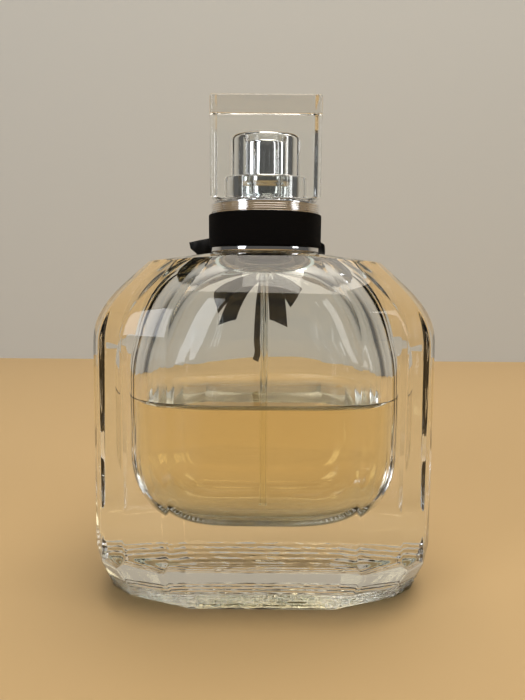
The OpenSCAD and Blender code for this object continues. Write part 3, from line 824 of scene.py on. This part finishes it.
def ribbonStrip(name, path, across, width, node, slant=(0.0, 0.0), cup=0.15, rough=0.12, thick=0.26, steps=70,
                cols=16, notch=0.0):
    # the ribbon's centre runs along the path and its width along the across rows; its edges cup by
    # cup * (2 u) ^ 2, its ends are cut at a slant, and both faces join into one thin closed sheet
    centre = smoothPath(path, steps)
    side = smoothPath(across, steps)
    tangent = np.gradient(centre, axis=0)
    tangent /= np.linalg.norm(tangent, axis=1, keepdims=True)
    side -= (side * tangent).sum(1, keepdims=True) * tangent
    side /= np.linalg.norm(side, axis=1, keepdims=True)
    normal = np.cross(tangent, side)
    u = np.linspace(-0.5, 0.5, cols)
    s = np.linspace(0, 1, steps)
    width = np.atleast_1d(width).astype(float)
    w = np.interp(s, np.linspace(0, 1, len(width)), width)
    shift = slant[0] * (1 - s) ** 3 + slant[1] * s ** 3
    along = u[None] * shift[:, None] - notch * (1 - 2 * np.abs(u[None])) * (s[:, None] ** 6)
    wrinkle = rough * np.sin(s[:, None] * 23 + 1.7) * np.cos(u[None] * 5 + s[:, None] * 9)
    lift = cup * (2 * u[None]) ** 2 + wrinkle
    flat = centre[:, None] + side[:, None] * (u[None, :, None] * w[:, None, None])
    flat = flat + tangent[:, None] * along[..., None] + normal[:, None] * lift[..., None]
    front, back = flat + normal[:, None] * thick / 2, flat - normal[:, None] * thick / 2
    loop = np.concatenate([front, back[:, ::-1]], axis=1)
    n = loop.shape[1]
    faces = [tuple(f) for f in gridFaces(steps, n)]
    for row, flip in ((0, True), (steps - 1, False)):
        first, last = row * n, row * n + n - 1
        end = [(first + i, first + i + 1, last - 1 - i, last - i) for i in range(cols - 1)]
        faces += [c[::-1] if flip else c for c in end]
    length = np.concatenate([[0], np.cumsum(np.linalg.norm(np.diff(centre, axis=0), axis=1))])
    uRow = np.concatenate([u, u[::-1]])
    uv = np.stack([uRow[None] * w[:, None], np.broadcast_to(length[:, None], (steps, n))], -1)
    obj = meshObject(name, loop.reshape(-1, 3) * mm, faces, [blackSatin], uv=uv.reshape(-1, 2))
    tidyMesh(obj, 50)
    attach(obj, "bottle")
    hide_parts(node)
    return obj


def backOfGlass(z, gap):
    # how far back the ribbon lies at height z: the front and back facets' own profile plus a gap
    return float(facetProfile(0, body["halfD"], np.array([z]))[0]) + gap if z < 84.2 else 16.5 + gap


def flatAcross(angle, rows):
    # the ribbon's width lies in the XZ plane, turned by angle from X, all along its path
    return [(np.cos(radians(angle)), 0.0, np.sin(radians(angle)))] * rows


def fallPath(points, gap):
    # points are (x, z); y follows the back of the glass, and near the knot it stays close behind the collar
    return [(x, backOfGlass(z, gap), z) for x, z in points]


bow = {"tail": 6.0, "thin": 1.9, "droop": [4.6, 7.8, 10.0, 10.6, 9.6, 7.2, 4.6], "start": 16.6, "startZ": 86.0}

tailLeft = fallPath([(-1.2, 83.9), (-3.6, 80.6), (-7.2, 76.2), (-10.6, 71.4), (-13.4, 67.0)], 0.75)
ribbonStrip("tailLeft", [(-0.6, bow["start"], bow["startZ"])] + tailLeft, flatAcross(-37, 6), bow["tail"],
            "tail_left", slant=(0, -4.2), cup=0.25)
tailRight = fallPath([(1.6, 83.9), (2.8, 80.4), (3.9, 75.8), (4.4, 70.8), (4.7, 66.4)], 0.75)
ribbonStrip("tailRight", [(1.2, bow["start"], bow["startZ"])] + tailRight, flatAcross(14, 6), bow["tail"],
            "tail_right", slant=(0, 1.6), cup=0.25)
tailLong = fallPath([(-0.6, 83.9), (-0.9, 80.0), (-1.2, 75.0), (-1.9, 69.0), (-2.3, 63.0), (-2.0, 58.0),
                     (-2.6, 54.2)], 0.55)
ribbonStrip("tailLong", [(-0.2, bow["start"], bow["startZ"])] + tailLong, flatAcross(2, 8), bow["thin"],
            "tail_long", slant=(0, 0.8), cup=0.05, rough=0.08)


def droop(name, node, tip, lean, gap):
    # a soft loop: the ribbon runs down to its tip over the shoulder, turns, and comes back under itself
    out = fallPath([(tip[0] * k, 85.0 + (tip[1] - 85.0) * k) for k in (0.35, 0.7, 0.95)], gap + 1.5)
    end = fallPath([(tip[0] * 1.06, tip[1] - 0.7)], gap + 0.9)
    home = fallPath([(tip[0] * k, 84.6 + (tip[1] - 84.6) * k) for k in (0.92, 0.62, 0.3)], gap)
    start = [(tip[0] * 0.12, 18.6, 86.6)]
    path = start + out + end + home
    return ribbonStrip(name, path, flatAcross(lean, len(path)), bow["droop"], node, cup=0.5, rough=0.22,
                       steps=110)


droop("dropLeft", "bow_drop_left", (-19.4, 74.4), -58, 1.5)
droop("dropRight", "bow_drop_right", (12.4, 74.2), 45, 1.5)

ribbonStrip("loopLeft",
            [(-2.6, 16.2, 88.6), (-8.0, 16.6, 88.2), (-13.2, 14.8, 87.9), (-17.0, 12.9, 87.3),
             (-19.4, 11.9, 86.9)],
            [(0.1, -0.05, 1.0), (0.0, -0.05, 1.0), (-0.05, -0.1, 1.0), (-0.25, -0.1, 1.0), (-0.35, -0.1, 1.0)],
            [3.6, 4.4, 4.2, 3.9, 3.4], "bow_loop_left", slant=(0, 1.6), cup=0.4, notch=-0.8)
ribbonStrip("loopRight",
            [(2.6, 16.2, 88.0), (7.6, 16.6, 87.7), (12.4, 15.0, 87.4), (14.8, 13.6, 87.2), (16.5, 12.4, 86.7)],
            [(-0.1, 0.0, 1.0), (0.0, 0.0, 1.0), (0.1, 0.0, 1.0), (0.35, 0.0, 1.0), (0.6, 0.0, 1.0)],
            [3.4, 4.0, 4.0, 3.6, 2.6], "bow_loop_right", slant=(0, -1.2), cup=0.4)


def bowKnot():
    # the knot: an upright roll of ribbon, an ellipse in plan that narrows a little at both ends and is creased
    z = np.linspace(-1, 1, 26)[:, None]
    a = np.linspace(0, 2 * pi, 64, endpoint=False)[None]
    pinch = (1 - 0.22 * z ** 4) * (1 + 0.05 * np.sin(9 * a + 3 * z))
    lid = np.clip((1 - np.abs(z)) * 9, 0, 1) ** 0.5
    x, y = 2.9 * pinch * lid * np.cos(a), 1.75 * pinch * lid * np.sin(a)
    grid = np.stack([x, 16.1 + y, 88.9 + 2.75 * z + 0 * a], -1)
    uv = np.stack([3 * a + 0 * z, 2.7 * z + 0 * a], -1)
    obj = meshObject("bowKnot", grid.reshape(-1, 3) * mm, gridFaces(26, 64), [blackSatin], uv=uv.reshape(-1, 2))
    tidyMesh(obj)
    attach(obj, "bottle")
    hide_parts("bow_knot")


bowKnot()
print("bow made")


def dress(nodeName, material):
    # a CAD node keeps its mesh and gets the real piece's material
    obj = nodes[nodeName]
    obj.data.materials.clear()
    obj.data.materials.append(material)


for name, material in {
    "neck_gasket": whitePolypropylene, "crimp_ferrule": drawnAluminium, "pump_housing": clearPolypropylene,
    "pump_closure": whitePolypropylene, "stem_gasket": blackRubber,
    "inlet_ball": stainlessSteel, "piston": whitePolypropylene, "stem": whitePolypropylene,
    "head_core": whitePolypropylene, "nozzle_insert": whitePolypropylene, "collar_insert": whitePolypropylene,
}.items():
    dress(name, material)
print("collar, pump and head made")
